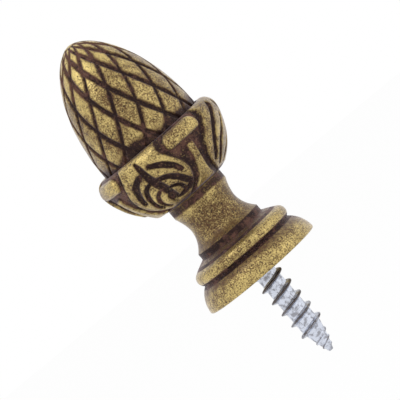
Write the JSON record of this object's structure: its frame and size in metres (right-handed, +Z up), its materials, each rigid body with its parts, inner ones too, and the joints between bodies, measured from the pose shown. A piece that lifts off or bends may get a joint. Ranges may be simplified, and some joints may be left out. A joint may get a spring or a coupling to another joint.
{
  "type": "acorn finial",
  "caption": "Cast brass acorn finial with a latticed nut, a leaf cup, a waisted neck and a round foot, on a wood screw that fastens it to the end of a curtain pole.",
  "frame": {"origin": "centre of the foot's flat underside, where the screw leaves it", "axes": "+Z up along the finial's own axis, from the foot to the acorn's tip; the screw points along -Z; a leaf of the cup faces -Y"},
  "size_m": [0.0284, 0.0284, 0.0769],
  "materials": {
    "antique_brass": "cast brass with a dark brown patina in the hollows and a rubbed satin surface",
    "zinc_plated_steel": "bright zinc plating, slightly dull"
  },
  "bodies": {
    "root": {"finial_casting": "antique_brass", "hanger_screw": "zinc_plated_steel"}
  },
  "joints": []
}
